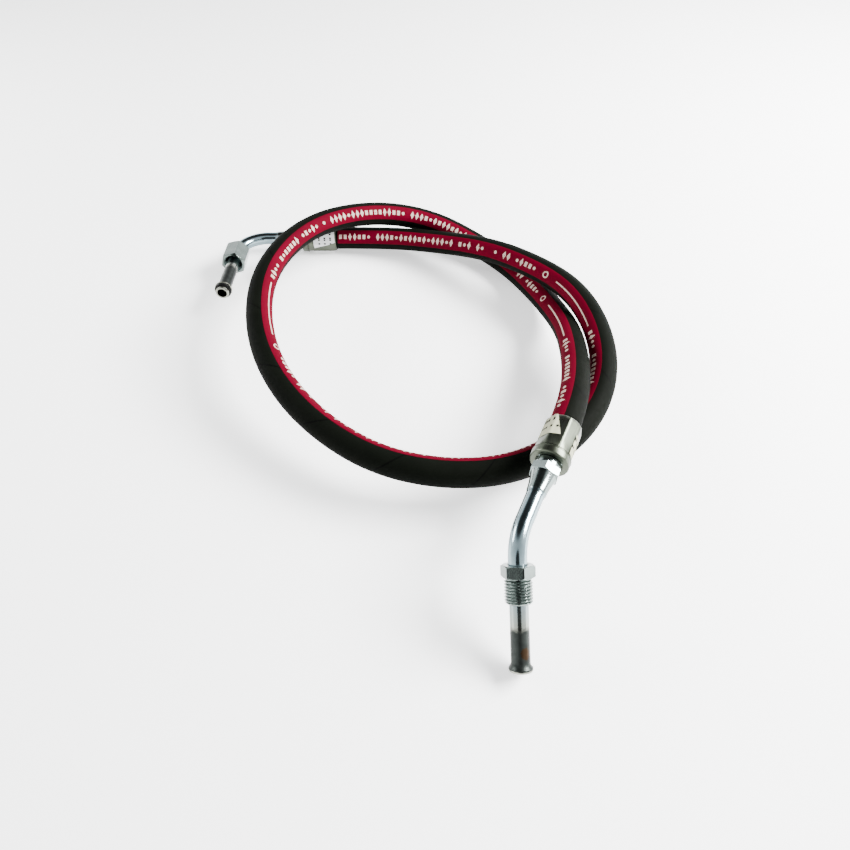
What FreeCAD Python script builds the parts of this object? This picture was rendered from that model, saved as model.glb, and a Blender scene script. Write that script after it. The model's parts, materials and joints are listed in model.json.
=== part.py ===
import FreeCAD, Part
import math
import os
from FreeCAD import Placement, Rotation, Vector

# Hydraulic hose assembly: a coiled 3/8 inch one-wire-braid hose with a bent steel tube crimped
# on each end. The near end is a 45 degree tube with a male tube nut. The far end is a 90 degree
# tube with a female nut and an O-ring nose. Millimetres and degrees throughout.
# Z is up. The origin is on the resting floor, under the middle of the assembly's box.

# ---- Hose ----
HOSE_BORE = 9.5
HOSE_OD = 17.4
LINER_WALL = 1.63
BRAID_WALL = 0.63
LAYER_GAP = 0.02             # keeps bonded layers apart as separate solids
TAPE_THICKNESS = 0.10
TAPE_ARC = 72.0              # share of the hose's circumference that the stripe covers
TAPE_TILT = 40.0             # the stripe faces the inside of the coil and this far upward
HOSE_IN_FERRULE = 24.0

# The hose's axis from one ferrule mouth to the other, a station about every 73 mm.
HOSE_ROUTE = [
    Vector(-73, 128, 10.8),  # mouth of the far ferrule, low on the floor
    Vector(0, 113, 17),
    Vector(64, 74, 29),      # over the hose's own last quarter
    Vector(109, 14, 33),
    Vector(111, -56, 25.5),
    Vector(66, -110, 23),    # under the near ferrule
    Vector(-3, -119, 25),    # front of the coil
    Vector(-66, -84, 28.5),
    Vector(-105, -24, 38),   # left side, rising
    Vector(-108, 48, 45),
    Vector(-72, 109, 40),    # over the far ferrule
    Vector(-8, 134, 25),
    Vector(55, 103, 9.7),    # back down to the floor
    Vector(89, 42, 12.7),
    Vector(96, -32, 32),     # inside the first turn
    Vector(78, -104.2, 44.3),  # mouth of the near ferrule
]

# ---- Ends: headings are measured from +X towards +Y, pitches above the floor ----
FAR_HEADING, FAR_PITCH = 180.0, 0.7
FAR_BEND, FAR_ROLL = 90.0, 4.3
FAR_LEG_1, FAR_LEG_2 = 78.3, 78.6        # hose mouth to corner, corner to nose
FAR_BEND_RADIUS = 22.0
NEAR_HEADING, NEAR_PITCH = -115.2, -0.2
NEAR_BEND, NEAR_ROLL = 45.0, -60.3
NEAR_LEG_1, NEAR_LEG_2 = 77.0, 64.1
NEAR_BEND_RADIUS = 25.0

# ---- Tube: 3/8 inch ----
TUBE_OD = 9.525
TUBE_WALL = 1.24

# ---- Crimped ferrule, measured along the axis from its hose mouth ----
FERRULE_LENGTH = 28.0
CRIMP_RADIUS = 10.3
CRIMP_FLATS = 8
CRIMP_FLAT_RADIUS = 9.95
COLLAR_RADIUS = 11.1
COLLAR_LENGTH = 4.4
LIP_THICKNESS = 2.6

# ---- Insert: barbed stem, lock groove, neck, hexagon and taper ----
STEM_BORE = 6.8
BARB_RADIUS = 4.70
BARB_DEPTH = 0.35
BARB_COUNT = 7
GROOVE_RADIUS = 6.0
NECK_RADIUS = 7.4
NECK_END = 32.0
INSERT_HEX = 14.6            # across flats
HEX_END = 36.8
TAPER_END = 48.0
TAPER_RADIUS = 5.3
TAPER_HOLLOW = 0.3           # how far the taper sinks below a straight cone
TUBE_SOCKET = 38.0           # where the tube's end stops inside the insert
BRAZE_LENGTH = 2.2

# ---- Label on the ferrule ----
LABEL_START, LABEL_LENGTH = 1.0, 16.5
LABEL_THICKNESS = 0.12
LABEL_GAP = 0.02
LABEL_ARC = 312.0
NEAR_LABEL_FROM = 146.0      # about the fitting's axis, from the side the tube bends to
FAR_LABEL_FROM = -22.0

# ---- Near tube mouth and male nut, measured from the tube's corner ----
FLARE_RADIUS = 6.0
FLARE_LENGTH = 4.2
NEAR_NUT_START = 12.6
NEAR_NUT_HEX = 15.0
NEAR_NUT_HEX_LENGTH = 6.1
NEAR_THREAD_RADIUS = 7.0     # M14 x 1.5, major diameter
NEAR_THREAD_LENGTH = 12.6
NUT_CLEARANCE = 0.19

# ---- Far nose and female nut, measured from the tube's corner ----
BEAD_START, BEAD_LENGTH = 72.4, 1.3
BEAD_RADIUS = 6.4
RING_GROOVE_END = 76.3
RING_GROOVE_RADIUS = 4.0
NOSE_RADIUS = 4.9
RING_SECTION = 1.1           # radius of the O-ring's round section
FAR_NUT_START = 16.5
FAR_NUT_LENGTH = 22.0
FAR_NUT_HEX = 17.0
FAR_NUT_SHOULDER = 2.4
FAR_NUT_SHOULDER_RADIUS = 7.3
FAR_NUT_RELIEF = 5.8         # wide bore at the back, where the tube starts to bend
FAR_NUT_RELIEF_LENGTH = 6.5
FAR_NUT_LAND = 3.0           # the ring that pulls on the bead
FAR_THREAD_RADIUS = 6.25     # M14 x 1.5, minor diameter

UP = Vector(0, 0, 1)
TUBE_RADIUS = TUBE_OD / 2
HOSE_RADIUS = HOSE_OD / 2


def direction(heading, pitch):
    """Unit vector at a heading in the floor plane and a pitch above it."""
    h = math.radians(heading)
    p = math.radians(pitch)
    return Vector(math.cos(p) * math.cos(h), math.cos(p) * math.sin(h), math.sin(p))


def fitting_place(mouth, heading, pitch, roll):
    """Local frame of a fitting: origin at the ferrule's mouth, Z out along the axis,
    X towards the side the tube bends to. Roll turns X up from the floor plane."""
    axis = direction(heading, pitch)
    side = UP.cross(axis).normalize()
    rise = axis.cross(side)
    r = math.radians(roll)
    bend_side = side * math.cos(r) + rise * math.sin(r)
    return Placement(mouth, Rotation(bend_side, axis.cross(bend_side), axis, "ZXY"))


# ---- Shared shapes, all in a local frame with Z along the axis ----

def turned(outline):
    """Solid of revolution about Z from a closed outline of (radius, height) points."""
    points = [Vector(r, 0, z) for r, z in outline]
    face = Part.Face(Part.makePolygon(points + points[:1]))
    return face.revolve(Vector(), UP, 360)


def rod(radius, start, end):
    return Part.makeCylinder(radius, end - start, Vector(0, 0, start))


def polygon_bar(sides, flat_radius, start, end, turn=0.0):
    """Prism with flat sides at flat_radius from the axis."""
    corner = flat_radius / math.cos(math.pi / sides)
    angles = [math.radians(turn) + 2 * math.pi * (k + 0.5) / sides for k in range(sides)]
    points = [Vector(corner * math.cos(a), corner * math.sin(a), start) for a in angles]
    return Part.Face(Part.makePolygon(points + points[:1])).extrude(UP * (end - start))


def chamfered_hex(across_flats, start, end, turn=0.0, back=True):
    """Hexagon whose corners are turned down at 30 degrees in front, and behind too if back is set."""
    flat = across_flats / 2
    corner = flat / math.cos(math.pi / 6)
    drop = (corner - flat) * math.tan(math.radians(30))
    outline = [(0, start)]
    outline += [(flat, start), (corner, start + drop)] if back else [(corner, start)]
    outline += [(corner, end - drop), (flat, end), (0, end)]
    return polygon_bar(6, flat, start, end, turn).common(turned(outline))


# ---- Hose layers ----

def circle_tangent(before, here, after):
    """Way along the circle through three stations, at the middle one."""
    a = here - before
    b = after - here
    return (a * (b.Length / a.Length) + b * (a.Length / b.Length)).normalize()


def arc_from(start, way, end):
    """Arc that leaves start along way and ends at end."""
    chord = end - start
    turn = way.getAngle(chord)
    outward = (way - chord * (way.dot(chord) / chord.dot(chord))).normalize()
    middle = start + chord / 2 + outward * (chord.Length / 2 * math.tan(turn / 2))
    return Part.Arc(start, middle, end).toShape()


def two_arcs(start, start_way, end, end_way):
    """Two arcs that meet smoothly and join two stations along their ways."""
    chord = end - start
    along = chord.dot(start_way + end_way)
    spread = 2 * (1 - start_way.dot(end_way))
    reach = (math.sqrt(along ** 2 + spread * chord.dot(chord)) - along) / spread
    meet = (start + end + (start_way - end_way) * reach) / 2
    return [arc_from(start, start_way, meet), arc_from(end, end_way * -1, meet)]


def hose_arcs():
    """Arcs along the hose from one ferrule mouth to the other, two between stations."""
    route = HOSE_ROUTE
    ways = [circle_tangent(*route[k - 1:k + 2]) for k in range(1, len(route) - 1)]
    ways = [direction(FAR_HEADING, FAR_PITCH) * -1] + ways + [direction(NEAR_HEADING, NEAR_PITCH)]
    arcs = []
    for k in range(len(route) - 1):
        arcs += two_arcs(route[k], ways[k], route[k + 1], ways[k + 1])
    return arcs


def hose_layer(inner, outer):
    """Tube of one material along the whole hose, with the straight ends that the ferrules hold."""
    far_way = direction(FAR_HEADING, FAR_PITCH)
    near_way = direction(NEAR_HEADING, NEAR_PITCH)
    first, last = HOSE_ROUTE[0], HOSE_ROUTE[-1]
    far_stop = first + far_way * HOSE_IN_FERRULE
    near_stop = last + near_way * HOSE_IN_FERRULE
    axis = Part.Wire([Part.makeLine(far_stop, first)] + hose_arcs() + [Part.makeLine(last, near_stop)])
    rings = [Part.Wire(Part.makeCircle(r, far_stop, far_way)) for r in (outer, inner)]
    return axis.makePipe(Part.Face(rings))


def layline_tape():
    """Thin stripe on the cover between the ferrules, on the inside of the coil and facing up."""
    start = HOSE_ROUTE[0]
    way = direction(FAR_HEADING, FAR_PITCH) * -1
    inside = way.cross(UP).normalize()
    top = inside.cross(way)
    inner = HOSE_RADIUS + LAYER_GAP
    outer = inner + TAPE_THICKNESS

    def on_rim(radius, angle):
        a = math.radians(TAPE_TILT + angle)
        return start + (inside * math.cos(a) + top * math.sin(a)) * radius

    half = TAPE_ARC / 2
    section = Part.Wire([
        Part.Arc(on_rim(inner, -half), on_rim(inner, 0), on_rim(inner, half)).toShape(),
        Part.makeLine(on_rim(inner, half), on_rim(outer, half)),
        Part.Arc(on_rim(outer, half), on_rim(outer, 0), on_rim(outer, -half)).toShape(),
        Part.makeLine(on_rim(outer, -half), on_rim(inner, -half)),
    ])
    return Part.Wire(hose_arcs()).makePipe(Part.Face(section))


# ---- Parts that both ends share ----

def ferrule():
    """Crimped sleeve: eight pressed flats, a groove, and a round collar with a gripping lip."""
    bore = HOSE_RADIUS + 2 * LAYER_GAP
    collar_start = FERRULE_LENGTH - COLLAR_LENGTH
    groove = CRIMP_RADIUS - 0.45
    body = turned([
        (bore + 0.35, 0.0),
        (CRIMP_RADIUS - 0.7, 0.0),
        (CRIMP_RADIUS - 0.1, 0.6),
        (CRIMP_RADIUS, 4.0),
        (CRIMP_RADIUS, collar_start - 1.5),
        (groove, collar_start - 1.1),
        (groove, collar_start - 0.4),
        (COLLAR_RADIUS, collar_start),
        (COLLAR_RADIUS, collar_start + 0.5),
        (COLLAR_RADIUS - 0.25, collar_start + 0.8),
        (COLLAR_RADIUS - 0.25, FERRULE_LENGTH - 0.6),
        (COLLAR_RADIUS - 0.8, FERRULE_LENGTH),
        (GROOVE_RADIUS + 0.05, FERRULE_LENGTH),
        (GROOVE_RADIUS + 0.05, FERRULE_LENGTH - LIP_THICKNESS),
        (bore, FERRULE_LENGTH - LIP_THICKNESS),
        (bore, 0.4),
    ])
    crimped_end = collar_start - 1.5
    waste = rod(CRIMP_RADIUS + 1, 2.0, crimped_end).cut(
        polygon_bar(CRIMP_FLATS, CRIMP_FLAT_RADIUS, 2.0, crimped_end))
    return body.cut(waste)


def insert():
    """Stem inside the hose, neck and hexagon outside it, and a tapered socket for the tube."""
    stem_start = 1.5
    shoulder = HOSE_IN_FERRULE + 0.3
    lip_back = FERRULE_LENGTH - LIP_THICKNESS - 0.05
    pitch = (HOSE_IN_FERRULE - stem_start - 2.0) / BARB_COUNT
    outline = [(STEM_BORE / 2, stem_start), (BARB_RADIUS - 0.8, stem_start)]
    for k in range(BARB_COUNT):
        z = stem_start + 0.8 + k * pitch
        outline += [(BARB_RADIUS, z + pitch * 0.8), (BARB_RADIUS - BARB_DEPTH, z + pitch * 0.82)]
    outline += [
        (BARB_RADIUS - BARB_DEPTH, shoulder),
        (NECK_RADIUS - 0.2, shoulder),
        (NECK_RADIUS - 0.2, lip_back),
        (GROOVE_RADIUS, lip_back),
        (GROOVE_RADIUS, FERRULE_LENGTH + 0.05),
        (NECK_RADIUS - 0.3, FERRULE_LENGTH + 0.05),
        (NECK_RADIUS, FERRULE_LENGTH + 0.35),
        (NECK_RADIUS, NECK_END),
        (STEM_BORE / 2, NECK_END),
    ]
    socket = TUBE_RADIUS + 0.03
    hexagon = chamfered_hex(INSERT_HEX, NECK_END, HEX_END, back=False)
    root = Vector(INSERT_HEX / 2 - 0.2, 0, HEX_END)
    tip = Vector(TAPER_RADIUS, 0, TAPER_END)
    hollow = (root + tip) / 2 - Vector(TAPER_HOLLOW, 0, 0)
    taper = Part.Face(Part.Wire([
        Part.makeLine(UP * HEX_END, root),
        Part.Arc(root, hollow, tip).toShape(),
        Part.makeLine(tip, UP * TAPER_END),
        Part.makeLine(UP * TAPER_END, UP * HEX_END),
    ])).revolve(Vector(), UP, 360)
    outside = turned(outline).fuse(hexagon.fuse(taper).cut(rod(STEM_BORE / 2, NECK_END - 1, TAPER_END)))
    return outside.cut(rod(socket, TUBE_SOCKET, TAPER_END + 1)).removeSplitter()


def braze_ring():
    """Fillet of braze metal where the tube leaves the insert."""
    inner = TUBE_RADIUS + 0.03
    start = TAPER_END + 0.02
    end = start + BRAZE_LENGTH
    waist = inner + 0.22
    edges = [
        Part.makeLine(Vector(inner, 0, start), Vector(TAPER_RADIUS - 0.05, 0, start)),
        Part.Arc(Vector(TAPER_RADIUS - 0.05, 0, start), Vector(waist, 0, start + 0.4 * BRAZE_LENGTH),
                 Vector(inner + 0.03, 0, end)).toShape(),
        Part.makeLine(Vector(inner + 0.03, 0, end), Vector(inner, 0, end)),
        Part.makeLine(Vector(inner, 0, end), Vector(inner, 0, start)),
    ]
    return Part.Face(Part.Wire(edges)).revolve(Vector(), UP, 360)


def label(start_angle):
    """Paper label wrapped most of the way round the crimped part of the ferrule."""
    inner = CRIMP_RADIUS + LABEL_GAP
    outer = inner + LABEL_THICKNESS
    z = LABEL_START
    section = Part.makePolygon([Vector(inner, 0, z), Vector(outer, 0, z),
                                Vector(outer, 0, z + LABEL_LENGTH),
                                Vector(inner, 0, z + LABEL_LENGTH), Vector(inner, 0, z)])
    sleeve = Part.Face(section).revolve(Vector(), UP, LABEL_ARC)
    sleeve.rotate(Vector(), UP, start_angle)
    return sleeve


def tube_axis(bend, leg_1, leg_2, radius):
    """Straight, bend and straight in the local XZ plane, from the socket to the tube's mouth."""
    set_back = radius * math.tan(math.radians(bend) / 2)
    a = math.radians(bend)
    second = Vector(math.sin(a), 0, math.cos(a))
    corner = UP * leg_1
    bend_start = corner - UP * set_back
    bend_end = corner + second * set_back
    centre = bend_start + Vector(radius, 0, 0)
    half = a / 2
    middle = centre + Vector(-radius * math.cos(half), 0, radius * math.sin(half))
    return Part.Wire([
        Part.makeLine(UP * (TUBE_SOCKET + 0.2), bend_start),
        Part.Arc(bend_start, middle, bend_end).toShape(),
        Part.makeLine(bend_end, corner + second * leg_2),
    ])


def bent_bar(axis, radius):
    disc = Part.Face(Part.Wire(Part.makeCircle(radius, axis.Edges[0].Vertexes[0].Point, UP)))
    return axis.makePipe(disc)


def corner_place(bend, leg_1):
    """Local frame of the second leg: origin at the tube's corner, Z towards its mouth."""
    return Placement(UP * leg_1, Rotation(Vector(0, 1, 0), bend))


# ---- Near end: flared tube and male nut ----

def near_tube():
    """45 degree tube with a bell mouth that the nut bears on."""
    axis = tube_axis(NEAR_BEND, NEAR_LEG_1, NEAR_LEG_2 - 1.0, NEAR_BEND_RADIUS)
    end = NEAR_LEG_2
    start = end - FLARE_LENGTH - 1.4
    rim = end - 2.0
    bore = TUBE_RADIUS - TUBE_WALL
    edges = [
        Part.makeLine(Vector(0, 0, start), Vector(TUBE_RADIUS, 0, start)),
        Part.Arc(Vector(TUBE_RADIUS, 0, start), Vector(TUBE_RADIUS + 0.28, 0, start + 2.2),
                 Vector(FLARE_RADIUS, 0, rim)).toShape(),
        Part.makeLine(Vector(FLARE_RADIUS, 0, rim), Vector(FLARE_RADIUS, 0, rim + 0.9)),
        Part.Arc(Vector(FLARE_RADIUS, 0, rim + 0.9), Vector(FLARE_RADIUS - 0.35, 0, end - 0.35),
                 Vector(FLARE_RADIUS - 1.1, 0, end)).toShape(),
        Part.makeLine(Vector(FLARE_RADIUS - 1.1, 0, end), Vector(0, 0, end)),
        Part.makeLine(Vector(0, 0, end), Vector(0, 0, start)),
    ]
    mouth = Part.Face(Part.Wire(edges)).revolve(Vector(), UP, 360)
    funnel = turned([(0, end - 2.4), (bore - 0.2, end - 2.4), (bore + 0.9, end + 0.1), (0, end + 0.1)])
    place = corner_place(NEAR_BEND, NEAR_LEG_1)
    mouth.Placement = place
    funnel.Placement = place
    outside = bent_bar(axis, TUBE_RADIUS).fuse(mouth)
    axis_through = tube_axis(NEAR_BEND, NEAR_LEG_1, NEAR_LEG_2 + 1.0, NEAR_BEND_RADIUS)
    return outside.cut(bent_bar(axis_through, bore)).cut(funnel).removeSplitter()


def near_nut():
    """Male nut: hexagon behind, M14 x 1.5 shank in front, seat cone for the tube's bell mouth."""
    start = NEAR_NUT_START
    shank = start + NEAR_NUT_HEX_LENGTH
    end = shank + NEAR_THREAD_LENGTH
    bore = TUBE_RADIUS + NUT_CLEARANCE
    root = NEAR_THREAD_RADIUS - 0.9
    screw = turned([
        (0, shank - 0.1), (root, shank - 0.1), (root, shank + 0.8),
        (NEAR_THREAD_RADIUS, shank + 1.4), (NEAR_THREAD_RADIUS, end - 1.0),
        (NEAR_THREAD_RADIUS - 0.9, end), (0, end),
    ])
    hexagon = chamfered_hex(NEAR_NUT_HEX, start, shank, turn=8.0)
    hole = turned([(0, start - 1), (bore + 0.5, start - 1), (bore + 0.5, start), (bore, start + 0.5),
                   (bore, end - 1.2), (bore + 1.0, end), (bore + 1.0, end + 1), (0, end + 1)])
    nut = hexagon.fuse(screw).cut(hole).removeSplitter()
    nut.Placement = corner_place(NEAR_BEND, NEAR_LEG_1)
    return nut


# ---- Far end: O-ring nose and female nut ----

def far_tube():
    """90 degree tube with a rolled bead, an O-ring groove and a round nose."""
    axis = tube_axis(FAR_BEND, FAR_LEG_1, BEAD_START + 0.5, FAR_BEND_RADIUS)
    bead_end = BEAD_START + BEAD_LENGTH
    half = BEAD_LENGTH / 2
    nose = [
        (0, BEAD_START), (BEAD_RADIUS - 0.5, BEAD_START), (BEAD_RADIUS, BEAD_START + half / 2),
        (BEAD_RADIUS, bead_end - half / 2), (BEAD_RADIUS - 0.3, bead_end),
        (RING_GROOVE_RADIUS, bead_end), (RING_GROOVE_RADIUS, RING_GROOVE_END),
        (NOSE_RADIUS, RING_GROOVE_END), (NOSE_RADIUS, FAR_LEG_2 - 0.5),
        (NOSE_RADIUS - 0.5, FAR_LEG_2), (0, FAR_LEG_2),
    ]
    solid_nose = turned(nose)
    solid_nose.Placement = corner_place(FAR_BEND, FAR_LEG_1)
    outside = bent_bar(axis, TUBE_RADIUS).fuse(solid_nose)
    axis_through = tube_axis(FAR_BEND, FAR_LEG_1, FAR_LEG_2 + 1.0, FAR_BEND_RADIUS)
    return outside.cut(bent_bar(axis_through, TUBE_RADIUS - TUBE_WALL)).removeSplitter()


def far_o_ring():
    """Rubber ring in the groove behind the nose."""
    middle = (BEAD_START + BEAD_LENGTH + RING_GROOVE_END) / 2
    ring = Part.makeTorus(RING_GROOVE_RADIUS + 0.04 + RING_SECTION, RING_SECTION)
    ring.translate(UP * middle)
    ring.Placement = corner_place(FAR_BEND, FAR_LEG_1).multiply(ring.Placement)
    return ring


def far_nut():
    """Female nut: round shoulder behind, hexagon in front, relief, land and thread bore inside."""
    start = FAR_NUT_START
    end = start + FAR_NUT_LENGTH
    hex_start = start + FAR_NUT_SHOULDER
    land = start + FAR_NUT_RELIEF_LENGTH
    thread = land + FAR_NUT_LAND
    shoulder = turned([(0, start), (FAR_NUT_SHOULDER_RADIUS - 0.4, start),
                       (FAR_NUT_SHOULDER_RADIUS, start + 0.4), (FAR_NUT_SHOULDER_RADIUS, hex_start + 0.2),
                       (0, hex_start + 0.2)])
    body = shoulder.fuse(chamfered_hex(FAR_NUT_HEX, hex_start, end, turn=12.0))
    land_radius = TUBE_RADIUS + NUT_CLEARANCE
    mouth = FAR_THREAD_RADIUS + 0.9
    hole = turned([
        (0, start - 1), (FAR_NUT_RELIEF, start - 1), (FAR_NUT_RELIEF, land),
        (land_radius, land + 0.4), (land_radius, thread), (FAR_THREAD_RADIUS, thread + 0.6),
        (FAR_THREAD_RADIUS, end - 0.9), (mouth, end), (mouth, end + 1), (0, end + 1),
    ])
    nut = body.cut(hole).removeSplitter()
    nut.Placement = corner_place(FAR_BEND, FAR_LEG_1)
    return nut


# ---- Assembly ----

def at(place, shape):
    shape.Placement = place.multiply(shape.Placement)
    return shape


def assembly():
    """Every node by name, in one frame."""
    near = fitting_place(HOSE_ROUTE[-1], NEAR_HEADING, NEAR_PITCH, NEAR_ROLL)
    far = fitting_place(HOSE_ROUTE[0], FAR_HEADING, FAR_PITCH, FAR_ROLL)
    liner_outer = HOSE_BORE / 2 + LINER_WALL
    braid_inner = liner_outer + LAYER_GAP
    braid_outer = braid_inner + BRAID_WALL
    parts = {
        "hose_liner": hose_layer(HOSE_BORE / 2, liner_outer),
        "wire_braid": hose_layer(braid_inner, braid_outer),
        "hose_cover": hose_layer(braid_outer + LAYER_GAP, HOSE_RADIUS),
        "layline_tape": layline_tape(),
    }
    for end, place, label_from in (("near", near, NEAR_LABEL_FROM), ("far", far, FAR_LABEL_FROM)):
        parts[end + "_ferrule"] = at(place, ferrule())
        parts[end + "_insert"] = at(place, insert())
        parts[end + "_braze_ring"] = at(place, braze_ring())
        parts[end + "_label"] = at(place, label(label_from))
    parts["near_tube"] = at(near, near_tube())
    parts["near_nut"] = at(near, near_nut())
    parts["far_tube"] = at(far, far_tube())
    parts["far_nut"] = at(far, far_nut())
    parts["far_o_ring"] = at(far, far_o_ring())
    return parts


def main():
    os.makedirs("parts", exist_ok=True)
    parts = assembly()
    points, _ = Part.makeCompound(list(parts.values())).tessellate(0.05)
    low, high = [Vector(*(pick(p[k] for p in points) for k in range(3))) for pick in (min, max)]
    to_origin = Vector(-(low.x + high.x) / 2, -(low.y + high.y) / 2, -low.z)
    for name, shape in parts.items():
        shape.translate(to_origin)
        shape.exportStep("parts/" + name + ".step")


main()
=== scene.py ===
import bpy
import json
import math
import numpy as np
from mathutils import Matrix, Vector


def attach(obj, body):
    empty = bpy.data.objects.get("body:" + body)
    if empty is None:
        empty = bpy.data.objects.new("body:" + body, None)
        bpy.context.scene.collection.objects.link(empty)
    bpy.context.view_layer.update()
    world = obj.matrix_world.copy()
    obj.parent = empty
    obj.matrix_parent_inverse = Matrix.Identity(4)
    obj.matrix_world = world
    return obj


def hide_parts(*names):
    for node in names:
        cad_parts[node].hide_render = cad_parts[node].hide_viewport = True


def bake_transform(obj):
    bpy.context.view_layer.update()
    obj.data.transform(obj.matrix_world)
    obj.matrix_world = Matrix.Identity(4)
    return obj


# Coiled hydraulic hose with two bent tube fittings, lying on a pale studio floor.
# All lengths are in metres. Fittings are placed from the record's mounts and joints, and the hose
# follows the centreline of the CAD cover.

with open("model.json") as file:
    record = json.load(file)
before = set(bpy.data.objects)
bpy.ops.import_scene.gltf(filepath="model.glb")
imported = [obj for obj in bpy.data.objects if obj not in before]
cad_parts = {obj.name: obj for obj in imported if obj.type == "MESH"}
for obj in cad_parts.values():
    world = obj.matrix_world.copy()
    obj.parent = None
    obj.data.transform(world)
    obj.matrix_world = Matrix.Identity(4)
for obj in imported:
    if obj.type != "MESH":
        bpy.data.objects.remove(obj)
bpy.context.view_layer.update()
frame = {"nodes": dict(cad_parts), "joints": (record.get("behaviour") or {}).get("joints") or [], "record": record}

MM = 0.001
HOSE_RADIUS = 8.7 * MM
TUBE_RADIUS = 4.7625 * MM
HOSE_IN_FERRULE = 24.0 * MM
WRAP_PITCH = 52.0 * MM              # lead of the spiral edge that the curing wrap leaves
TAPE_TILT = math.radians(40)        # the stripe faces the inside of the coil and this far up
TAPE_HALF_ARC = math.radians(36)
FLEX_PIVOT_BACK = 60.0 * MM         # each flex joint sits this far behind its ferrule's mouth
NEAR_THREAD_FROM_CORNER = 25.2 * MM     # the two mounts, along leg_2 from its tube's corner
FAR_NOSE_FROM_CORNER = 77.25 * MM


# ---- Places ----

def by_name(rows, name):
    return next(row for row in rows if row["name"] == name)


def place(origin, axis, side):
    """Matrix with Z along the axis and X towards the side."""
    side = (side - axis * side.dot(axis)).normalized()
    return Matrix.Translation(origin) @ Matrix((side, axis.cross(side), axis)).transposed().to_4x4()


class Fitting:
    """Places on one end fitting: leg_1 starts at the ferrule's mouth, leg_2 at the tube's corner."""

    def __init__(self, mount_name, from_corner, joint_name):
        mount = by_name(frame["record"]["mounts"], mount_name)
        joint = by_name(frame["joints"], joint_name)
        second = Vector(mount["axis"]).normalized()
        corner = Vector(mount["pos_m"]) - second * from_corner
        pivot = Vector(joint["pos_m"])
        self.first = (corner - pivot).normalized()
        self.mouth = pivot + self.first * FLEX_PIVOT_BACK
        self.leg_1 = place(self.mouth, self.first, second)
        self.leg_2 = place(corner, second, (self.first * -1).cross(second).cross(second))


NEAR = Fitting("near_nut_thread", NEAR_THREAD_FROM_CORNER, "near_end_flex")
FAR = Fitting("far_nose", FAR_NOSE_FROM_CORNER, "far_end_flex")


# ---- Centreline of the hose ----

LINE_STEP = 2.0 * MM
CENTRE_SEARCH = 3.0 * MM            # axis points this close to a guess correct it
PULL = 0.5                          # share of the sideways error taken out at each step
TURN_SHARE = 0.25                   # how much each step turns the heading
SMOOTHING_PASSES = 60


def cover_axis_points():
    """Points near the cover's axis: the centre of each CAD face, moved in by the hose's radius."""
    mesh = frame["nodes"]["hose_cover"].data
    count = len(mesh.polygons)
    centres = np.zeros(count * 3)
    normals = np.zeros(count * 3)
    mesh.polygons.foreach_get("center", centres)
    mesh.polygons.foreach_get("normal", normals)
    return centres.reshape(-1, 3) - HOSE_RADIUS * normals.reshape(-1, 3)


def walk(here, way, goal):
    """Steps from here to the goal, each one pulled towards the cover's axis."""
    on_axis = cover_axis_points()
    points = []
    while np.linalg.norm(goal - here) > 1.5 * LINE_STEP:
        guess = here + way * LINE_STEP
        near = on_axis[np.linalg.norm(on_axis - guess, axis=1) < CENTRE_SEARCH]
        target = np.median(near, axis=0) if len(near) else guess
        off = target - guess
        guess = guess + PULL * (off - way * off.dot(way))
        heading = (guess - here) / np.linalg.norm(guess - here)
        way = (1 - TURN_SHARE) * way + TURN_SHARE * heading
        way = way / np.linalg.norm(way)
        here = here + heading * LINE_STEP
        points.append(here)
    return points


def hose_centreline():
    """Points along the hose's axis, from its end in the far ferrule to its end in the near one.
    The part inside each ferrule is straight."""
    inside = int(HOSE_IN_FERRULE / LINE_STEP)
    start, way = np.array(FAR.mouth), -np.array(FAR.first)
    goal, tail = np.array(NEAR.mouth), np.array(NEAR.first)
    points = [start + way * LINE_STEP * k for k in range(-inside, 1)]
    points += walk(start, way, goal)
    points += [goal + tail * LINE_STEP * k for k in range(inside + 1)]
    line = np.array(points)
    held = inside - 1
    for _ in range(SMOOTHING_PASSES):
        beside = line[held - 1:-held - 1] + line[held + 1:len(line) - held + 1]
        line[held:-held] = line[held:-held] * 0.5 + beside * 0.25
    return line


def twist_free_sides(line):
    """Two side directions that follow the line without twisting.
    The first one starts towards the inside of the coil, tilted up to the stripe."""
    ways = np.gradient(line, axis=0)
    ways = ways / np.linalg.norm(ways, axis=1)[:, None]
    inside = np.cross(ways[0], (0, 0, 1))
    inside = inside / np.linalg.norm(inside)
    top = np.cross(inside, ways[0])
    side = inside * math.cos(TAPE_TILT) + top * math.sin(TAPE_TILT)
    sides = []
    for way in ways:
        side = side - way * side.dot(way)
        side = side / np.linalg.norm(side)
        sides.append(side)
    sides = np.array(sides)
    return sides, np.cross(ways, sides)


LINE = hose_centreline()
SIDES, ACROSS = twist_free_sides(LINE)
ALONG = np.r_[0, np.cumsum(np.linalg.norm(np.diff(LINE, axis=0), axis=1))]


# ---- Meshes ----

SHELL_CREASE = math.radians(40)     # edges of a thickened skin sharper than this stay sharp


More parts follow.
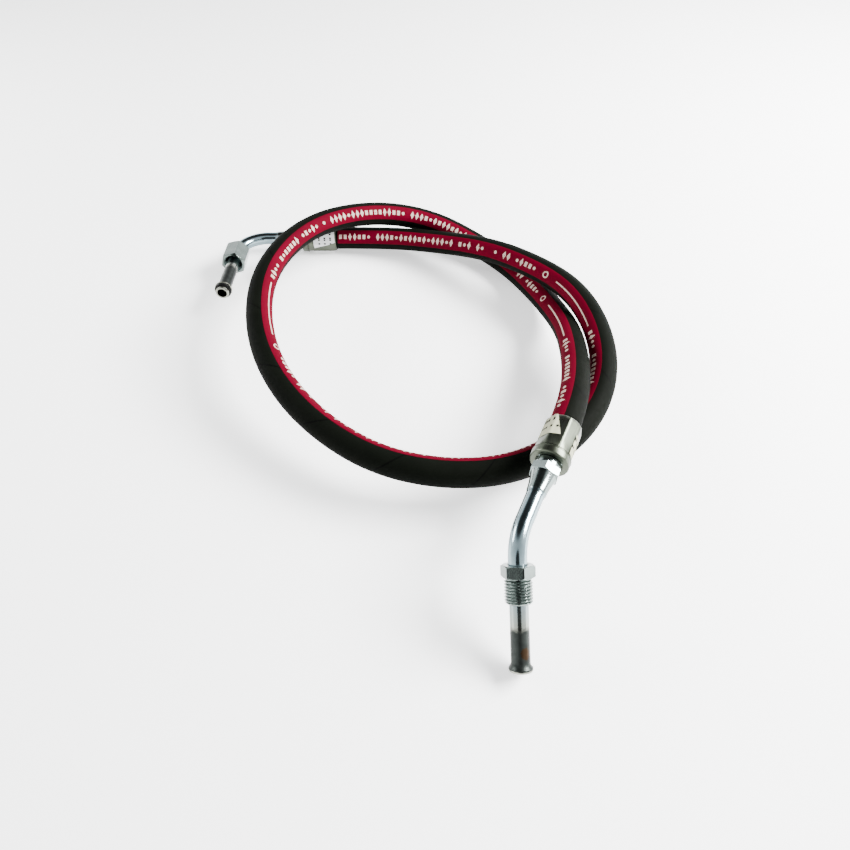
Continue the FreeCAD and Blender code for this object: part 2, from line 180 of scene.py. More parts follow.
def add_skin(name, rows, columns, point_at, uv_at, material, crease=None, around=False, ring=False):
    """Mesh over a grid of points. Around joins each row's ends, and ring joins the last row to the
    first. Every face corner has its own UV, so a joined skin has no smeared seam."""
    quads = []
    for i in range(rows if ring else rows - 1):
        for j in range(columns if around else columns - 1):
            quads.append(((i, j), (i, j + 1), (i + 1, j + 1), (i + 1, j)))
    points = [tuple(point_at(i, j)) for i in range(rows) for j in range(columns)]
    faces = [[(i % rows) * columns + j % columns for i, j in quad] for quad in quads]
    uvs = [uv_at(i % rows, j) for quad in quads for i, j in quad]
    mesh = bpy.data.meshes.new(name)
    mesh.from_pydata(points, [], faces)
    mesh.uv_layers.new(name="UVMap").data.foreach_set("uv", np.array(uvs, dtype=np.float32).ravel())
    mesh.shade_smooth()
    if crease:
        mesh.set_sharp_from_angle(angle=math.radians(crease))
    mesh.materials.append(material)
    obj = bpy.data.objects.new(name, mesh)
    bpy.context.scene.collection.objects.link(obj)
    return obj


def thicken(piece, thickness):
    """Gives a skin its real thickness, inwards, so that it is a closed shell."""
    shell = piece.modifiers.new("shell", "SOLIDIFY")
    shell.thickness = thickness
    shell.offset = -1
    bpy.context.view_layer.objects.active = piece
    bpy.ops.object.modifier_apply(modifier=shell.name)
    piece.data.set_sharp_from_angle(angle=SHELL_CREASE)


def turned_skin(name, where, stations, radius_at, material, columns, crease):
    """Closed skin about Z: at each station's height, radius_at(station, angle) gives the radius.
    The stations run once round the section, out along one side and back along the other."""
    def angle(j):
        return 2 * math.pi * j / columns

    def point_at(i, j):
        r = radius_at(stations[i], angle(j))
        return where @ Vector((r * math.cos(angle(j)), r * math.sin(angle(j)), stations[i][0]))

    def uv_at(i, j):
        return stations[i][0], angle(j) * radius_at(stations[i], angle(j))

    return add_skin(name, len(stations), columns, point_at, uv_at, material, crease, around=True, ring=True)


def hose_stretch(start, end):
    """Indices of the centreline between two lengths along it."""
    return range(int(np.searchsorted(ALONG, start)), int(np.searchsorted(ALONG, end - 1e-6)) + 1)


def hose_skin(name, stretch, radius_at, angles, around, material):
    """Skin along part of the hose. Angles are about the axis, from the middle of the stripe.
    A skin that goes all the way round has one angle more than it has columns."""
    def point_at(i, j):
        k, a = stretch[i], angles[j]
        return LINE[k] + (SIDES[k] * math.cos(a) + ACROSS[k] * math.sin(a)) * radius_at(ALONG[k], a)

    def uv_at(i, j):
        return ALONG[stretch[i]], angles[j] * HOSE_RADIUS

    columns = len(angles) - 1 if around else len(angles)
    return add_skin(name, len(stretch), columns, point_at, uv_at, material, around=around)


def spaced(half_angle, count):
    """Angles from minus to plus half_angle."""
    return [half_angle * (2 * j / count - 1) for j in range(count + 1)]


# ---- Material nodes ----

class Shader:
    """Small builder for one material's node tree."""

    def __init__(self, name):
        self.material = bpy.data.materials.new(name)
        self.material.use_nodes = True
        self.tree = self.material.node_tree
        self.surface = self.tree.nodes["Principled BSDF"]

    def add(self, kind, inputs, **properties):
        made = self.tree.nodes.new("ShaderNode" + kind)
        for key, value in properties.items():
            setattr(made, key, value)
        for key, value in inputs.items():
            self.put(made.inputs[key], value)
        return made

    def put(self, socket, value):
        if isinstance(value, bpy.types.NodeSocket):
            self.tree.links.new(value, socket)
        else:
            socket.default_value = value

    def set(self, **inputs):
        for key, value in inputs.items():
            self.put(self.surface.inputs[key.replace("_", " ")], value)

    def math(self, operation, a, b=0.0, c=0.0):
        return self.add("Math", {0: a, 1: b, 2: c}, operation=operation).outputs[0]

    def times(self, a, b):
        return self.math("MULTIPLY", a, b)

    def hypot(self, a, b):
        return self.math("SQRT", self.math("ADD", self.math("POWER", a, 2), self.math("POWER", b, 2)))

    def wave(self, value, pitch):
        return self.math("SINE", self.times(value, 2 * math.pi / pitch))

    def uv(self):
        """The (u, v) of the skin: metres along it and metres around it."""
        split = self.add("SeparateXYZ", {0: self.add("UVMap", {}).outputs[0]})
        return split.outputs[0], split.outputs[1]

    def here(self):
        """Position in the piece's own space, so that a pattern moves with its piece."""
        return self.add("TexCoord", {}).outputs["Object"]

    def along(self, where):
        """Distance along a place's Z axis."""
        axis = where.to_3x3().col[2]
        offset = self.add("VectorMath", {0: self.here(), 1: where.translation}, operation="SUBTRACT")
        product = self.add("VectorMath", {0: offset.outputs[0], 1: axis}, operation="DOT_PRODUCT")
        return product.outputs["Value"]

    def noise(self, scale, detail=4.0, vector=None):
        inputs = {"Scale": scale, "Detail": detail, "Roughness": 0.55,
                  "Vector": self.here() if vector is None else vector}
        return self.add("TexNoise", inputs).outputs["Fac"]

    def dice(self, cells):
        """One random value from 0 to 1 for each whole cell."""
        cell = self.math("FLOOR", cells)
        return self.add("TexWhiteNoise", {"W": cell}, noise_dimensions="1D").outputs["Value"]

    def spread(self, factor, low, high):
        """A 0 to 1 factor mapped onto a range."""
        return self.add("MapRange", {0: factor, 3: low, 4: high}).outputs[0]

    def ramp(self, value, start, end, top=1.0):
        """0 below the start, rising to top at the end."""
        return self.add("MapRange", {0: value, 1: start, 2: end, 3: 0.0, 4: top}).outputs[0]

    def mix(self, factor, a, b):
        made = self.add("Mix", {0: factor}, data_type="RGBA")
        for socket, value in ((made.inputs[6], a), (made.inputs[7], b)):
            self.put(socket, value if isinstance(value, bpy.types.NodeSocket) else (*value, 1))
        return made.outputs[2]

    def bump(self, height, distance, strength=1.0):
        made = self.add("Bump", {"Height": height, "Distance": distance, "Strength": strength})
        self.set(Normal=made.outputs[0])

    def between(self, value, low, high):
        """1 where low < value < high."""
        return self.times(self.math("GREATER_THAN", value, low), self.math("LESS_THAN", value, high))

    def any_of(self, *masks):
        total = masks[0]
        for mask in masks[1:]:
            total = self.math("MAXIMUM", total, mask)
        return total


# ---- Rubber and braid ----

CLOTH_PITCH = 0.75 * MM
WIRE_PITCH = 0.6 * MM
WRAP_SHADE_SHARE = 0.022                # width of the painted shade line in the step at the wrap's edge, as part of its pitch


def cover_rubber():
    """Matte black rubber with a cloth impression and the edges of the wrap that cured it; a darker line along each
    edge's step is painted shade.
    """
    s = Shader("cover_rubber")
    u, v = s.uv()
    weave = s.times(s.wave(u, CLOTH_PITCH), s.wave(v, CLOTH_PITCH))
    dust = s.noise(55, 5)
    scuff = s.noise(420, 3)
    round_hose = s.math("DIVIDE", v, 2 * math.pi * HOSE_RADIUS)
    turn = s.math("FRACT", s.math("ADD", s.math("DIVIDE", u, WRAP_PITCH), round_hose))
    # painted shade: a line darker than the rubber along the step at each wrap edge
    crease = s.times(s.math("LESS_THAN", turn, WRAP_SHADE_SHARE), 0.85)
    clean = s.mix(s.spread(dust, 0, 1), (0.0006, 0.0010, 0.0005), (0.0024, 0.0030, 0.0019))
    s.set(Base_Color=s.mix(crease, clean, (0.0001, 0.0001, 0.0001)))
    s.set(Roughness=s.spread(scuff, 0.55, 0.8), Specular_IOR_Level=0.02)
    s.bump(s.math("ADD", s.times(weave, 0.5), s.times(scuff, 0.9)), 0.06 * MM, 0.8)
    return s.material


def inner_rubber():
    """Plain dark rubber of the liner."""
    s = Shader("inner_rubber")
    s.set(Base_Color=(0.02, 0.02, 0.02, 1), Roughness=s.spread(s.noise(300), 0.5, 0.7))
    return s.material


def braid_wire():
    """Crossing wires of the braid."""
    s = Shader("braid_wire")
    u, v = s.uv()
    one_way = s.wave(s.math("ADD", u, v), WIRE_PITCH)
    other_way = s.wave(s.math("SUBTRACT", u, v), WIRE_PITCH)
    s.set(Base_Color=(0.5, 0.43, 0.3, 1), Metallic=1.0, Roughness=0.35)
    s.bump(s.math("MAXIMUM", one_way, other_way), 0.15 * MM)
    return s.material


def seal_rubber():
    """Smooth black rubber of the O-ring."""
    s = Shader("seal_rubber")
    s.set(Base_Color=(0.002, 0.002, 0.002, 1), Roughness=s.spread(s.noise(900), 0.3, 0.5))
    s.set(Specular_IOR_Level=0.12)
    return s.material


# ---- Stripe ----

PRINT_REPEAT = 381.5 * MM
PRINT_START = 281.0 * MM            # first repeat, from the hose's end in the far ferrule
ROW_END = 308.0 * MM                # the rest is measured from the start of a repeat
RING_AT = 316.5 * MM
RING_INNER, RING_OUTER = 1.5 * MM, 2.5 * MM
DASH_START, DASH_END = 328.0 * MM, 377.5 * MM
DASH_HALF_WIDTH = 0.5 * MM
MARK_PITCH = 4.1 * MM
MARK_HEIGHT = 6.0 * MM
MARK_START, MARK_MIDDLE, MARK_END = 0.08, 0.46, 0.84      # across one cell of the row
LOZENGE_HALF_WIDTH = 0.38
BLOCK_HALF_WIDTH = 0.3
BLOCK_LOW, BLOCK_HIGH = 0.22, 0.78
DOT_RADIUS = 1.2 * MM
BLANKS, LOZENGES, BLOCKS, ALL_MARKS = 0.12, 0.44, 0.74, 1.01    # running shares of the cells


def print_marks(s):
    """Mask of the stripe's print: a long row of lozenges, blocks and dots, a ring, then a dash."""
    u, v = s.uv()
    repeats = s.math("DIVIDE", s.math("SUBTRACT", u, PRINT_START), PRINT_REPEAT)
    run = s.times(s.math("FRACT", repeats), PRINT_REPEAT)
    row = s.times(row_marks(s, s.math("DIVIDE", run, MARK_PITCH), v), s.math("LESS_THAN", run, ROW_END))
    ring = s.between(s.hypot(s.math("SUBTRACT", run, RING_AT), v), RING_INNER, RING_OUTER)
    line = s.between(v, -DASH_HALF_WIDTH, DASH_HALF_WIDTH)
    dash = s.times(s.between(run, DASH_START, DASH_END), line)
    worn = s.math("GREATER_THAN", s.noise(1100, 3), 0.36)
    return s.times(s.any_of(row, ring, dash), worn)


def row_marks(s, cells, v):
    """Mask of the row: each cell is left blank or holds one mark."""
    x = s.math("FRACT", cells)
    y = s.math("ADD", s.math("DIVIDE", v, MARK_HEIGHT), 0.5)
    across = s.math("SUBTRACT", x, MARK_MIDDLE)
    up = s.math("SUBTRACT", y, 0.5)
    from_middle = s.math("ABSOLUTE", across)
    slope = s.math("MULTIPLY_ADD", s.math("ABSOLUTE", up), 2 * LOZENGE_HALF_WIDTH, from_middle)
    lozenge = s.math("LESS_THAN", slope, LOZENGE_HALF_WIDTH)
    block = s.times(s.math("LESS_THAN", from_middle, BLOCK_HALF_WIDTH), s.between(y, BLOCK_LOW, BLOCK_HIGH))
    dot = s.math("LESS_THAN", s.hypot(s.times(across, MARK_PITCH), s.times(up, MARK_HEIGHT)), DOT_RADIUS)
    dice = s.dice(cells)
    chosen = s.any_of(
        s.times(s.between(dice, BLANKS, LOZENGES), lozenge),
        s.times(s.between(dice, LOZENGES, BLOCKS), block),
        s.times(s.between(dice, BLOCKS, ALL_MARKS), dot),
    )
    return s.times(chosen, s.times(s.between(x, MARK_START, MARK_END), s.between(y, 0.0, 1.0)))


def layline_film():
    """Red film with white print, a little faded and scuffed."""
    s = Shader("layline_film")
    marks = print_marks(s)
    fade = s.noise(40, 3)
    red = s.mix(fade, (0.042, 0.0001, 0.0040), (0.076, 0.0003, 0.0074))
    s.set(Base_Color=s.mix(marks, red, (0.36, 0.27, 0.23)), Roughness=s.spread(fade, 0.6, 0.8))
    s.set(Specular_IOR_Level=0.015)
    s.bump(s.math("ADD", s.noise(900, 2), s.times(marks, 0.6)), 0.03 * MM, 0.6)
    return s.material


# ---- Metals ----

def zinc(name, dark, light, roughness, grain=None):
    """Zinc plate with cloudy colour. Its grain, if given, is the height of fine marks from handling."""
    s = Shader(name)
    cloud = s.noise(120, 6)
    speck = s.noise(1500, 2)
    blotch = s.math("ADD", s.times(cloud, 0.7), s.times(speck, 0.3))
    s.set(Metallic=1.0, Base_Color=s.mix(cloud, dark, light), Roughness=s.spread(blotch, *roughness))
    if grain:
        s.bump(s.math("ADD", speck, s.times(cloud, 0.5)), grain)
    return s


def ferrule_zinc():
    """Dull greenish zinc with fine lines along the crimp from the dies."""
    s = zinc("ferrule_zinc", (0.018, 0.020, 0.012), (0.056, 0.062, 0.043), (0.22, 0.38))
    u, v = s.uv()
    stretched = s.add("CombineXYZ", {0: s.times(u, 60), 1: s.times(v, 1500)}).outputs[0]
    lines = s.noise(1.0, 3, stretched)
    clean = s.surface.inputs["Base Color"].links[0].from_socket
    s.set(Base_Color=s.mix(s.spread(lines, 0, 0.8), clean, (0.11, 0.125, 0.10)))
    s.bump(lines, 0.05 * MM)
    return s.material


STRAW_LENGTH = 16.0 * MM            # the straw colour deepens over this length before the stain
STAIN_EDGE = 3.0 * MM
STAIN_RAGGED = 5.0 * MM
RUST_SPOT = Vector((1.9 * MM, -4.3 * MM, 54.6 * MM))      # in the near tube's second leg
RUST_RADIUS = 4.2 * MM
RUST_RAGGED = 3.0 * MM


def tinted_tube(name, where, start, end, spot=None):
    """Bright plated tube whose free end is stained by heat from start to end along its leg."""
    s = zinc(name, (0.13, 0.18, 0.20), (0.30, 0.385, 0.415), (0.08, 0.22), 0.02 * MM)
    plate = s.surface.inputs["Base Color"].links[0].from_socket
    down = s.along(where)
    warmed = s.mix(s.ramp(down, start - STRAW_LENGTH, start, 0.7), plate, (0.27, 0.245, 0.18))
    ragged = s.math("MULTIPLY_ADD", s.noise(260, 4), STAIN_RAGGED, down)
    heat = s.times(s.ramp(ragged, start, start + STAIN_EDGE), s.math("LESS_THAN", down, end))
    stain = s.mix(s.noise(240, 5), (0.006, 0.008, 0.008), (0.045, 0.050, 0.046))
    if spot:
        away = s.add("VectorMath", {0: s.here(), 1: where @ spot}, operation="DISTANCE").outputs["Value"]
        edge = s.math("MULTIPLY_ADD", s.noise(500, 3), RUST_RAGGED, away)
        rust = s.times(s.math("LESS_THAN", edge, RUST_RADIUS), 0.8)
        stain = s.mix(rust, stain, (0.036, 0.018, 0.007))
    dulled = s.math("MAXIMUM", s.times(heat, 0.9), s.times(s.noise(120), 0.5))
    s.set(Base_Color=s.mix(heat, warmed, stain), Roughness=s.spread(dulled, 0.06, 0.42))
    return s.material


# ---- Paper ----

BAR_SHARE = 0.82                    # printed part of each bar's pitch
BAR_BLANKS = 0.2                    # share of the bars left out


def paper(name, colour, ink_rows, pitch):
    """Printed paper: rows of small plain bars on an aged sheet."""
    s = Shader(name)
    u, v = s.uv()
    cells = s.math("DIVIDE", v, pitch)
    printed = s.math("GREATER_THAN", s.dice(cells), BAR_BLANKS)
    bar = s.times(s.math("LESS_THAN", s.math("FRACT", cells), BAR_SHARE), printed)
    inked = s.any_of(*[s.between(u, low * MM, high * MM) for low, high in ink_rows])
    aged = s.mix(s.noise(160, 5), [c * 0.78 for c in colour], colour)
    s.set(Base_Color=s.mix(s.times(bar, inked), aged, (0.004, 0.004, 0.004)))
    s.set(Roughness=0.7, Specular_IOR_Level=0.05)
    s.bump(s.noise(700, 3), 0.05 * MM, 0.6)
    return s.material


# ---- Hose ----

FLEX_ZONE = 130.0 * MM              # length of hose at each end that is made as a piece of its own
WRAP_STEP = 0.10 * MM
WRAP_TAPER = 0.05 * MM
WRAP_EDGE = 0.045                   # the step's width as part of the pitch
COVER_WALL, COVER_SIDES = 1.48 * MM, 72
TAPE_RADIUS, TAPE_WALL, TAPE_SIDES = 8.80 * MM, 0.08 * MM, 16
BRAID_RADIUS, BRAID_WALL, BRAID_SIDES = 7.03 * MM, 0.60 * MM, 40
LINER_RADIUS, LINER_WALL, LINER_SIDES = 6.38 * MM, 1.60 * MM, 32


def cover_radius(along, angle):
    """Cover with the low spiral step left by the edge of the curing wrap."""
    turn = (along / WRAP_PITCH + angle / (2 * math.pi)) % 1.0
    return HOSE_RADIUS - WRAP_STEP * max(0.0, 1 - turn / WRAP_EDGE) - WRAP_TAPER * turn


def same_radius(radius):
    """A radius that is the same everywhere, as a function of place."""
    return lambda along, angle: radius


def hose():
    """Layers of the hose, from the outside in."""
    hose_layer("cover", "hose_cover", cover_radius, COVER_WALL, math.pi, COVER_SIDES, cover_rubber())
    at_tape, at_braid, at_liner = [same_radius(r) for r in (TAPE_RADIUS, BRAID_RADIUS, LINER_RADIUS)]
    hose_layer("layline", "layline_tape", at_tape, TAPE_WALL, TAPE_HALF_ARC, TAPE_SIDES, layline_film())
    hose_layer("braid", "wire_braid", at_braid, BRAID_WALL, math.pi, BRAID_SIDES, braid_wire())
    hose_layer("liner", "hose_liner", at_liner, LINER_WALL, math.pi, LINER_SIDES, inner_rubber())


def hose_layer(layer, node, radius_at, wall, half_arc, sides, material):
    """One layer in three stretches: the middle one rides the hose, and the two end ones are pieces of their own. A
    layer that goes all the way round runs on into the ferrules."""
    around = half_arc == math.pi
    margin = 0.0 if around else HOSE_IN_FERRULE
    total = ALONG[-1]
    far_to = HOSE_IN_FERRULE + FLEX_ZONE
    near_from = total - HOSE_IN_FERRULE - FLEX_ZONE
    stretches = (
        ("far", margin, far_to),
        ("middle", far_to, near_from),
        ("near", near_from, total - margin),
    )
    for part, start, end in stretches:
        name = "%s_%s" % (layer, part)
        stretch = hose_stretch(start, end)
        piece = hose_skin(name, stretch, radius_at, spaced(half_arc, sides), around, material)
        thicken(piece, wall)
        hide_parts(node)
        hold(piece, part)


def hold(piece, part):
    """Middle pieces ride the hose, and end pieces only have their transform baked in."""
    if part == "middle":
        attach(piece, "hose")
        return
    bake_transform(piece)


# ---- Ferrules and labels ----

CRIMPS = 8
CRIMP_FLAT = 9.85 * MM
CRIMP_ROUND = 10.3 * MM
CRIMP_START, CRIMP_END = 1.2 * MM, 22.2 * MM
CRIMP_ROWS = 14
CRIMP_FADE = 5.0 * MM               # the flats fade out over this length before the collar
RIDGE_HEIGHT = 0.14 * MM
RIDGE_FROM = 0.44                   # each flat runs from -0.5 to 0.5, and its ridges start here
MOST_ABOVE_ROUND = 0.15 * MM
FERRULE_COLUMNS = 160
FERRULE_CREASE = 40
# Profile of the plain parts, as (height, radius) in millimetres from the ferrule's mouth.
FERRULE_LIP = ((0.0, 9.1), (0.12, 9.5), (0.5, 9.75))
FERRULE_GROOVE = ((22.35, 10.0), (22.8, 9.95))
FERRULE_RIDGE = ((23.0, 10.15), (23.2, 10.9), (23.35, 11.05), (23.65, 11.05))
FERRULE_COLLAR = ((23.85, 10.85), (27.2, 10.85), (27.6, 10.7), (27.9, 10.35), (28.0, 10.0))
FERRULE_BORE = ((28.0, 7.6), (25.4, 7.6), (25.4, 8.74), (0.3, 8.74))


def crimped_radius(angle, z):
    """Flats left by the crimping dies, with a low ridge between each two, fading out at the collar."""
    part = (angle * CRIMPS / (2 * math.pi)) % 1.0 - 0.5
    flat = CRIMP_FLAT / math.cos(part * 2 * math.pi / CRIMPS)
    ridge = RIDGE_HEIGHT * max(0.0, (abs(part) - RIDGE_FROM) / (0.5 - RIDGE_FROM))
    fade = min(1.0, max(0.0, (CRIMP_END - z) / CRIMP_FADE))
    return CRIMP_ROUND + (min(flat + ridge, CRIMP_ROUND + MOST_ABOVE_ROUND) - CRIMP_ROUND) * fade


def ferrule(end, fitting, material):
    """Crimped sleeve with a rolled mouth, a fine groove and a round collar."""
    step = (CRIMP_END - CRIMP_START) / CRIMP_ROWS
    stations = [(z * MM, r * MM) for z, r in FERRULE_LIP]
    stations += [(CRIMP_START + step * k, None) for k in range(CRIMP_ROWS + 1)]
    rest = FERRULE_GROOVE + FERRULE_RIDGE + FERRULE_COLLAR + FERRULE_BORE
    stations += [(z * MM, r * MM) for z, r in rest]

    def radius_at(station, angle):
        z, radius = station
        return crimped_radius(angle, z) if radius is None else radius

    name = end + "_ferrule_skin"
    piece = turned_skin(name, fitting.leg_1, stations, radius_at, material, FERRULE_COLUMNS, FERRULE_CREASE)
    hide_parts(end + "_ferrule")
    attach(piece, end + "_end")


LABEL_ROWS, LABEL_COLUMNS = 24, 130
LABEL_ARC = math.radians(312)
LABEL_CUT = math.radians(30)        # how far round the first edge's slant reaches
LABEL_THICKNESS = 0.12 * MM
LABEL_LEAST = CRIMP_FLAT + 0.15 * MM    # the paper bridges the middle of each flat
LIFT_HEIGHT = 0.5 * MM
LIFT_FROM = 0.95                    # the last part of the way round that lifts


def label(end, fitting, material, start, low, high, skew):
    """Paper wrapped round the crimp on a skew: it climbs by skew on its way round, its first
    edge is cut aslant, and its last edge lifts a little."""
    def share(i):
        return i / (LABEL_ROWS - 1)

    def turned(i, j):
        way = j / (LABEL_COLUMNS - 1)
        return start + LABEL_CUT * (1 - share(i)) * (1 - way) + LABEL_ARC * way

    def point_at(i, j):
        way = j / (LABEL_COLUMNS - 1)
        angle = turned(i, j)
        z = low + (high - low) * share(i) + skew * way
        lift = LIFT_HEIGHT * max(0.0, (way - LIFT_FROM) / (1 - LIFT_FROM)) ** 2
        r = max(crimped_radius(angle, z), LABEL_LEAST) + LABEL_THICKNESS + lift
        return fitting.leg_1 @ Vector((r * math.cos(angle), r * math.sin(angle), z))

    def uv_at(i, j):
        return low + (high - low) * share(i), turned(i, j) * CRIMP_ROUND

    piece = add_skin(end + "_label_skin", LABEL_ROWS, LABEL_COLUMNS, point_at, uv_at, material)
    thicken(piece, LABEL_THICKNESS)
    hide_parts(end + "_label")
    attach(piece, end + "_end")


# ---- Nuts ----

NUT_COLUMNS = 144
NUT_CREASE = 28
NUT_BORE = TUBE_RADIUS + 0.19 * MM
THREAD_PITCH = 1.5 * MM
THREAD_MAJOR = 7.0 * MM
CREST_SHARE = 0.06                  # flat crest and root, as parts of the pitch
FLANK_SHARE = 0.36
LEAD_IN_SLOPE = 0.8                 # the thread grows from its free end and from its relief
RUN_OUT_SLOPE = 1.2
HEX_CHAMFER = math.radians(30)
CHAMFER_ROWS = 5


def hex_radius(across_flats, angle, turn):
    """Radius to a hexagon's side at an angle."""
    part = (angle - turn) % (math.pi / 3) - math.pi / 6
    return across_flats / 2 / math.cos(part)


def thread_radius(z, angle, minor):
    """Sixty degree screw thread with narrow crests and roots."""
    part = (z / THREAD_PITCH - angle / (2 * math.pi)) % 1.0
    fall = min(1.0, max(0.0, (abs(part - 0.5) - CREST_SHARE) / FLANK_SHARE))
    return THREAD_MAJOR - (THREAD_MAJOR - minor) * fall


def hex_profile(start, end, across_flats):
    """Stations of a hexagon chamfered at both ends: the limit radius at each height."""
    corner = across_flats / 2 / math.cos(math.pi / 6)
    flat = across_flats / 2 - 0.05 * MM
    drop = (corner - flat) * math.tan(HEX_CHAMFER)
    steps = [k / CHAMFER_ROWS for k in range(CHAMFER_ROWS + 1)]
    rising = [(start + drop * k, "hex", flat + (corner - flat) * k) for k in steps]
    falling = [(end - drop * k, "hex", flat + (corner - flat) * k) for k in reversed(steps)]
    return [(start, "round", flat - 0.5 * MM)] + rising + falling


def thread_profile(start, end, rows):
    """Stations of a thread, whose radius is worked out at each angle."""
    return [(start + (end - start) * k / rows, "thread", None) for k in range(rows + 1)]


def near_nut(material):
    """Male nut: hexagon, relief, M14 x 1.5 thread and a chamfered nose."""
    start, shank, end = 12.6 * MM, 18.7 * MM, 31.3 * MM
    across_flats, turn = 15.0 * MM, math.radians(8)
    minor, relief, nose = 6.1 * MM, 6.05 * MM, 6.0 * MM
    thread_start, thread_end = shank + 0.8 * MM, end - 0.1 * MM
    stations = [(start + 0.5 * MM, "round", NUT_BORE), (start, "round", NUT_BORE + 0.5 * MM)]
    stations += hex_profile(start, shank, across_flats)
    stations += [(shank, "round", relief + 0.25 * MM), (shank + 0.15 * MM, "round", relief)]
    stations += [(thread_start, "round", relief)]
    stations += thread_profile(thread_start, thread_end, 110)
    stations += [(end, "round", nose), (end, "round", NUT_BORE + 1.0 * MM)]
    stations += [(end - 1.2 * MM, "round", NUT_BORE)]

    def radius_at(station, angle):
        z, kind, limit = station
        if kind == "hex":
            return min(hex_radius(across_flats, angle, turn), limit)
        if kind == "thread":
            lead_in = minor + max(0.0, end - z) * LEAD_IN_SLOPE
            run_out = relief + max(0.0, z - thread_start) * RUN_OUT_SLOPE
            return min(thread_radius(z, angle, minor), lead_in, run_out)
        return limit

    piece = turned_skin("near_nut_skin", NEAR.leg_2, stations, radius_at, material, NUT_COLUMNS, NUT_CREASE)
    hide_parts("near_nut")
    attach(piece, "near_nut")


def far_nut(material):
    """Female nut: round shoulder, hexagon, open threaded mouth round the tube."""
    start, hexagon, end = 16.5 * MM, 18.9 * MM, 38.5 * MM
    land, bottom = 23.0 * MM, 26.6 * MM
    across_flats, turn = 17.0 * MM, math.radians(12)
    back_bore, shoulder = 5.6 * MM, 7.3 * MM
    minor, mouth = 6.25 * MM, 7.1 * MM
    thread_end = end - 0.15 * MM
    stations = [(land, "round", back_bore), (start + 0.3 * MM, "round", back_bore)]
    stations += [(start, "round", back_bore + 0.3 * MM), (start, "round", shoulder - 0.4 * MM)]
    stations += [(start + 0.4 * MM, "round", shoulder), (hexagon - 0.2 * MM, "round", shoulder)]
    stations += [(hexagon, "round", shoulder + 0.3 * MM)]
    stations += hex_profile(hexagon, end, across_flats)
    stations += [(end, "round", mouth + 0.2 * MM), (thread_end, "round", mouth + 0.05 * MM)]
    stations += thread_profile(thread_end, bottom, 80)
    stations += [(bottom, "round", NUT_BORE + 0.3 * MM), (land + 0.4 * MM, "round", NUT_BORE)]

    def radius_at(station, angle):
        z, kind, limit = station
        if kind == "hex":
            return min(hex_radius(across_flats, angle, turn), limit)
        if kind == "thread":
            lead_in = mouth - max(0.0, end - z) * LEAD_IN_SLOPE
            return max(thread_radius(z, angle, minor), lead_in)
        return limit

    piece = turned_skin("far_nut_skin", FAR.leg_2, stations, radius_at, material, NUT_COLUMNS, NUT_CREASE)
    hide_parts("far_nut")
    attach(piece, "far_nut")


# ---- Fittings ----

NEAR_STAIN = (44.0 * MM, 62.7 * MM)     # from where to where the tube is dark, along leg_2
FAR_STAIN = (49.0 * MM, 72.2 * MM)
NEAR_INK = ((2.6, 4.8), (8.2, 9.7))     # printed rows of each label, in millimetres up the paper
FAR_INK = ((3.4, 5.0), (8.0, 9.6), (12.6, 14.0))


def paint(node, material):
    """Gives a CAD node its finish."""
    mesh = frame["nodes"][node].data
    mesh.materials.clear()
    mesh.materials.append(material)


def fittings():
    """Both end fittings: skins for ferrules, labels and nuts, finishes for the rest."""
    sleeve_zinc = ferrule_zinc()
    insert = zinc("insert_zinc", (0.10, 0.125, 0.12), (0.28, 0.33, 0.32), (0.08, 0.2), 0.03 * MM)
    nut = zinc("nut_zinc", (0.07, 0.085, 0.08), (0.21, 0.25, 0.235), (0.1, 0.24), 0.03 * MM)
    braze = zinc("braze_metal", (0.12, 0.16, 0.17), (0.28, 0.35, 0.375), (0.1, 0.24), 0.04 * MM)
    cream = paper("near_label_paper", (0.34, 0.34, 0.24), NEAR_INK, 1.7 * MM)
    white = paper("far_label_paper", (0.60, 0.61, 0.60), FAR_INK, 1.5 * MM)
    label("near", NEAR, cream, math.radians(146), 0.8 * MM, 14.3 * MM, 7.5 * MM)
    label("far", FAR, white, math.radians(-22), 0.8 * MM, 18.0 * MM, 2.0 * MM)
    for end, fitting in (("near", NEAR), ("far", FAR)):
        ferrule(end, fitting, sleeve_zinc)
        paint(end + "_insert", insert.material)
        paint(end + "_braze_ring", braze.material)
    paint("near_tube", tinted_tube("near_tube_zinc", NEAR.leg_2, *NEAR_STAIN, RUST_SPOT))
    paint("far_tube", tinted_tube("far_tube_zinc", FAR.leg_2, *FAR_STAIN))
    paint("far_o_ring", seal_rubber())
    near_nut(nut.material)
    far_nut(nut.material)


# ---- Studio ----

FLOOR_SIZE = 6.0
FLOOR_GAP = 0.2 * MM
SKY_AT_FLOOR, SKY_OVERHEAD = 3.2, 1.2
PATCH_LEVEL = 0.04                  # what is left of the sky's light inside a dark patch
DARK_PATCHES = (
    # (direction, dark within this angle, bright beyond this one)
    (Vector((-0.1, 0.45, 0.85)), 28, 44),     # ceiling behind the coil
    (Vector((-0.10, -0.78, 0.61)), 20, 26),   # the camera and its stand
)


def floor():
    """Plain pale floor under the hose."""
    s = Shader("floor")
    s.set(Base_Color=(0.93, 0.93, 0.93, 1), Roughness=0.7)
    s.set(Emission_Color=(1, 1, 1, 1), Emission_Strength=0.7)
    bpy.ops.mesh.primitive_plane_add(size=FLOOR_SIZE)
    plane = bpy.context.object
    plane.name = "floor"
    plane.location.z = -FLOOR_GAP
    plane.data.materials.append(s.material)


def area_light(name, where, size, power):
    """Rectangular soft light that faces the middle of the floor."""
    data = bpy.data.lights.new(name, "AREA")
    data.shape = "RECTANGLE"
    data.size, data.size_y = size
    data.energy = power
    lamp = bpy.data.objects.new(name, data)
    lamp.location = where
    lamp.rotation_euler = (-Vector(where)).to_track_quat("-Z", "Y").to_euler()
    bpy.context.scene.collection.objects.link(lamp)


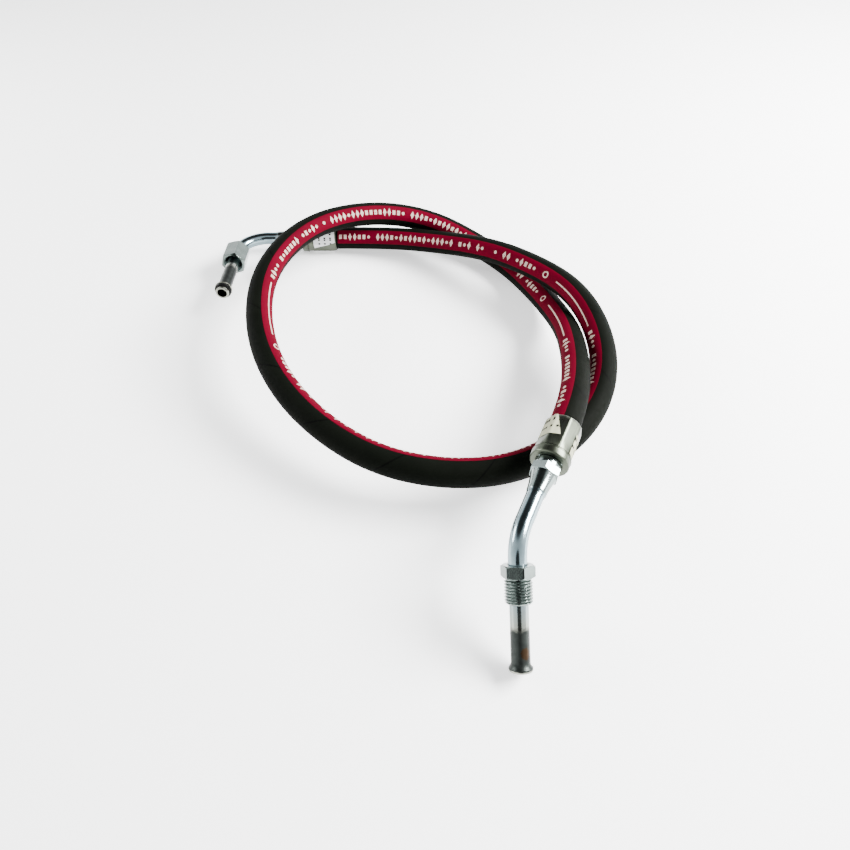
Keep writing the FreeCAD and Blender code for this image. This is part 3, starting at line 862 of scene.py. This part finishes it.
def map_range(nodes, links, value, low, high, to_low, to_high):
    """Node that maps a value from one range onto another."""
    made = nodes.new("ShaderNodeMapRange")
    links.new(value, made.inputs[0])
    for socket, number in zip((1, 2, 3, 4), (low, high, to_low, to_high)):
        made.inputs[socket].default_value = number
    return made.outputs[0]


def studio():
    """White sweep all round, a dark ceiling and camera for the metal to mirror, and two soft boxes."""
    world = bpy.data.worlds.new("studio")
    world.use_nodes = True
    nodes, links = world.node_tree.nodes, world.node_tree.links
    direction = nodes.new("ShaderNodeTexCoord").outputs["Generated"]
    split = nodes.new("ShaderNodeSeparateXYZ")
    links.new(direction, split.inputs[0])
    level = map_range(nodes, links, split.outputs[2], 0.0, 1.0, SKY_AT_FLOOR, SKY_OVERHEAD)
    for towards, dark, bright in DARK_PATCHES:
        facing = nodes.new("ShaderNodeVectorMath")
        facing.operation = "DOT_PRODUCT"
        links.new(direction, facing.inputs[0])
        facing.inputs[1].default_value = towards.normalized()
        limits = math.cos(math.radians(bright)), math.cos(math.radians(dark))
        patch = map_range(nodes, links, facing.outputs["Value"], *limits, 1.0, PATCH_LEVEL)
        both = nodes.new("ShaderNodeMath")
        both.operation = "MULTIPLY"
        links.new(level, both.inputs[0])
        links.new(patch, both.inputs[1])
        level = both.outputs[0]
    background = nodes["Background"]
    background.inputs[0].default_value = (0.97, 0.99, 1.0, 1)
    links.new(level, background.inputs[1])
    bpy.context.scene.world = world
    area_light("key", (0.95, 0.15, 0.7), (0.7, 0.5), 105)
    area_light("rim", (-0.9, 0.3, 0.45), (0.5, 0.3), 12)


CAMERA_AT = Vector((23.25 * MM, -285.15 * MM, 318.75 * MM))
CAMERA_PAN = math.radians(1.201)        # to the left of straight ahead
CAMERA_TILT = math.radians(50.573)      # down from level
CAMERA_ROLL = math.radians(-1.605)
CAMERA_LENS = 26.91
CAMERA_SENSOR = 36


def camera():
    """Camera above and in front of the coil, as in the product view."""
    data = bpy.data.cameras.new("camera")
    data.lens = CAMERA_LENS
    data.sensor_width = CAMERA_SENSOR
    data.clip_start = 0.01
    data.clip_end = 20
    cam = bpy.data.objects.new("camera", data)
    pan = Matrix.Rotation(CAMERA_PAN, 4, "Z")
    tilt = Matrix.Rotation(math.pi / 2 - CAMERA_TILT, 4, "X")
    roll = Matrix.Rotation(CAMERA_ROLL, 4, "Z")
    cam.matrix_world = Matrix.Translation(CAMERA_AT) @ pan @ tilt @ roll
    bpy.context.scene.collection.objects.link(cam)
    bpy.context.scene.camera = cam


hose()
fittings()
floor()
studio()
camera()
